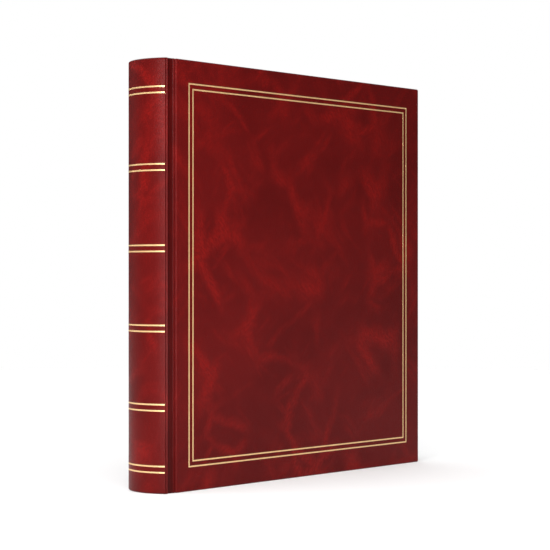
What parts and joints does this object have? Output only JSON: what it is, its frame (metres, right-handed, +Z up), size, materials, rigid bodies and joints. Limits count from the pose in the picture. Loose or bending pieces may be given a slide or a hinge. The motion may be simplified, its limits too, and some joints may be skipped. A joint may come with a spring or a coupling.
{
  "type": "stamp album",
  "caption": "Closed ring-bound stamp album with a rounded spine, hinged leatherette covers, opening rings and turning pocket leaves.",
  "frame": {"origin": "middle of the base, on the plane the album stands on", "axes": "+Z up along the spine, +X from the spine to the fore-edge, the front cover faces -Y"},
  "size_m": [0.305, 0.042, 0.317],
  "materials": {
    "leatherette": "satin",
    "greyboard": "matte",
    "endpaper": "matte",
    "leaf_card": "matte",
    "clear_film": "gloss",
    "nickel_plate": "satin",
    "nickel_wire": "polished",
    "gold_foil": "satin",
    "zinc_steel": "satin"
  },
  "bodies": {
    "spine": {"spine_covering": "leatherette", "spine_shell": "greyboard", "spine_plate": "greyboard", "spine_lining": "endpaper", "mechanism_plate": "nickel_plate", "mechanism_rivets": "nickel_plate", "lever_pins": "zinc_steel"},
    "front_cover": {"front_covering": "leatherette", "front_board": "greyboard", "front_lining": "endpaper", "front_joint": "leatherette"},
    "back_cover": {"back_covering": "leatherette", "back_board": "greyboard", "back_lining": "endpaper", "back_joint": "leatherette"},
    "front_rings": {"front_rail": "zinc_steel", "front_half_rings": "nickel_wire"},
    "back_rings": {"back_rail": "zinc_steel", "back_half_rings": "nickel_wire"},
    "top_lever": {"top_lever": "nickel_plate"},
    "bottom_lever": {"bottom_lever": "nickel_plate"},
    "leaf_01": {"leaf_01": "leaf_card", "leaf_01_strips": "clear_film"},
    "leaf_02": {"leaf_02": "leaf_card", "leaf_02_strips": "clear_film"},
    "leaf_03": {"leaf_03": "leaf_card", "leaf_03_strips": "clear_film"},
    "leaf_04": {"leaf_04": "leaf_card", "leaf_04_strips": "clear_film"},
    "leaf_05": {"leaf_05": "leaf_card", "leaf_05_strips": "clear_film"},
    "leaf_06": {"leaf_06": "leaf_card", "leaf_06_strips": "clear_film"},
    "leaf_07": {"leaf_07": "leaf_card", "leaf_07_strips": "clear_film"},
    "leaf_08": {"leaf_08": "leaf_card", "leaf_08_strips": "clear_film"},
    "leaf_09": {"leaf_09": "leaf_card", "leaf_09_strips": "clear_film"},
    "leaf_10": {"leaf_10": "leaf_card", "leaf_10_strips": "clear_film"},
    "leaf_11": {"leaf_11": "leaf_card", "leaf_11_strips": "clear_film"},
    "leaf_12": {"leaf_12": "leaf_card", "leaf_12_strips": "clear_film"},
    "leaf_13": {"leaf_13": "leaf_card", "leaf_13_strips": "clear_film"},
    "leaf_14": {"leaf_14": "leaf_card", "leaf_14_strips": "clear_film"}
  },
  "joints": [
    {"name": "front_cover_hinge", "type": "hinge", "parent": "spine", "child": "front_cover", "pos_m": [-0.1398, -0.0186, 0], "axis": [0, 0, -1], "range_deg": [0, 100], "deforming": ["front_joint"]},
    {"name": "back_cover_hinge", "type": "hinge", "parent": "spine", "child": "back_cover", "pos_m": [-0.1398, 0.0186, 0], "axis": [0, 0, 1], "range_deg": [0, 100], "deforming": ["back_joint"]},
    {"name": "front_rings_open", "type": "hinge", "parent": "spine", "child": "front_rings", "pos_m": [-0.1418, -0.0094, 0], "axis": [0, 0, -1], "range_deg": [0, 9]},
    {"name": "back_rings_open", "type": "hinge", "parent": "spine", "child": "back_rings", "pos_m": [-0.1418, 0.0094, 0], "axis": [0, 0, 1], "range_deg": [0, 9]},
    {"name": "top_lever_tilt", "type": "hinge", "parent": "spine", "child": "top_lever", "pos_m": [-0.1404, 0, 0.3058], "axis": [0, -1, 0], "range_deg": [0, 20]},
    {"name": "bottom_lever_tilt", "type": "hinge", "parent": "spine", "child": "bottom_lever", "pos_m": [-0.1404, 0, 0.0112], "axis": [0, 1, 0], "range_deg": [0, 20]},
    {"name": "leaf_07_level", "type": "hinge", "parent": "front_rings", "child": "leaf_07", "pos_m": [-0.13023, 0, 0], "axis": [0, 0, 1], "range_deg": [0, 9]},
    {"name": "leaf_08_level", "type": "hinge", "parent": "back_rings", "child": "leaf_08", "pos_m": [-0.13023, 0, 0], "axis": [0, 0, -1], "range_deg": [0, 9]},
    {"name": "leaf_01_turn", "type": "hinge", "parent": "leaf_07", "child": "leaf_01", "pos_m": [-0.13023, 0, 0], "axis": [0, 0, -1], "range_deg": [0, 76]},
    {"name": "leaf_14_turn", "type": "hinge", "parent": "leaf_08", "child": "leaf_14", "pos_m": [-0.13023, 0, 0], "axis": [0, 0, 1], "range_deg": [0, 76]},
    {"name": "leaf_02_turn", "type": "hinge", "parent": "leaf_07", "child": "leaf_02", "pos_m": [-0.13023, 0, 0], "axis": [0, 0, -1], "range_deg": [0, 64]},
    {"name": "leaf_13_turn", "type": "hinge", "parent": "leaf_08", "child": "leaf_13", "pos_m": [-0.13023, 0, 0], "axis": [0, 0, 1], "range_deg": [0, 64]},
    {"name": "leaf_03_turn", "type": "hinge", "parent": "leaf_07", "child": "leaf_03", "pos_m": [-0.13023, 0, 0], "axis": [0, 0, -1], "range_deg": [0, 52]},
    {"name": "leaf_12_turn", "type": "hinge", "parent": "leaf_08", "child": "leaf_12", "pos_m": [-0.13023, 0, 0], "axis": [0, 0, 1], "range_deg": [0, 52]},
    {"name": "leaf_04_turn", "type": "hinge", "parent": "leaf_07", "child": "leaf_04", "pos_m": [-0.13023, 0, 0], "axis": [0, 0, -1], "range_deg": [0, 40]},
    {"name": "leaf_11_turn", "type": "hinge", "parent": "leaf_08", "child": "leaf_11", "pos_m": [-0.13023, 0, 0], "axis": [0, 0, 1], "range_deg": [0, 40]},
    {"name": "leaf_05_turn", "type": "hinge", "parent": "leaf_07", "child": "leaf_05", "pos_m": [-0.13023, 0, 0], "axis": [0, 0, -1], "range_deg": [0, 28]},
    {"name": "leaf_10_turn", "type": "hinge", "parent": "leaf_08", "child": "leaf_10", "pos_m": [-0.13023, 0, 0], "axis": [0, 0, 1], "range_deg": [0, 28]},
    {"name": "leaf_06_turn", "type": "hinge", "parent": "leaf_07", "child": "leaf_06", "pos_m": [-0.13023, 0, 0], "axis": [0, 0, -1], "range_deg": [0, 16]},
    {"name": "leaf_09_turn", "type": "hinge", "parent": "leaf_08", "child": "leaf_09", "pos_m": [-0.13023, 0, 0], "axis": [0, 0, 1], "range_deg": [0, 16]}
  ],
  "couplings": [
    {"joint": "back_rings_open", "follows": "front_rings_open", "ratio": 1},
    {"joint": "top_lever_tilt", "follows": "front_rings_open", "ratio": 2.222},
    {"joint": "bottom_lever_tilt", "follows": "front_rings_open", "ratio": 2.222},
    {"joint": "leaf_07_level", "follows": "front_rings_open", "ratio": 1},
    {"joint": "leaf_08_level", "follows": "front_rings_open", "ratio": 1},
    {"joint": "leaf_01_turn", "follows": "front_cover_hinge", "ratio": 0.76},
    {"joint": "leaf_14_turn", "follows": "back_cover_hinge", "ratio": 0.76},
    {"joint": "leaf_02_turn", "follows": "front_cover_hinge", "ratio": 0.64},
    {"joint": "leaf_13_turn", "follows": "back_cover_hinge", "ratio": 0.64},
    {"joint": "leaf_03_turn", "follows": "front_cover_hinge", "ratio": 0.52},
    {"joint": "leaf_12_turn", "follows": "back_cover_hinge", "ratio": 0.52},
    {"joint": "leaf_04_turn", "follows": "front_cover_hinge", "ratio": 0.4},
    {"joint": "leaf_11_turn", "follows": "back_cover_hinge", "ratio": 0.4},
    {"joint": "leaf_05_turn", "follows": "front_cover_hinge", "ratio": 0.28},
    {"joint": "leaf_10_turn", "follows": "back_cover_hinge", "ratio": 0.28},
    {"joint": "leaf_06_turn", "follows": "front_cover_hinge", "ratio": 0.16},
    {"joint": "leaf_09_turn", "follows": "back_cover_hinge", "ratio": 0.16}
  ]
}
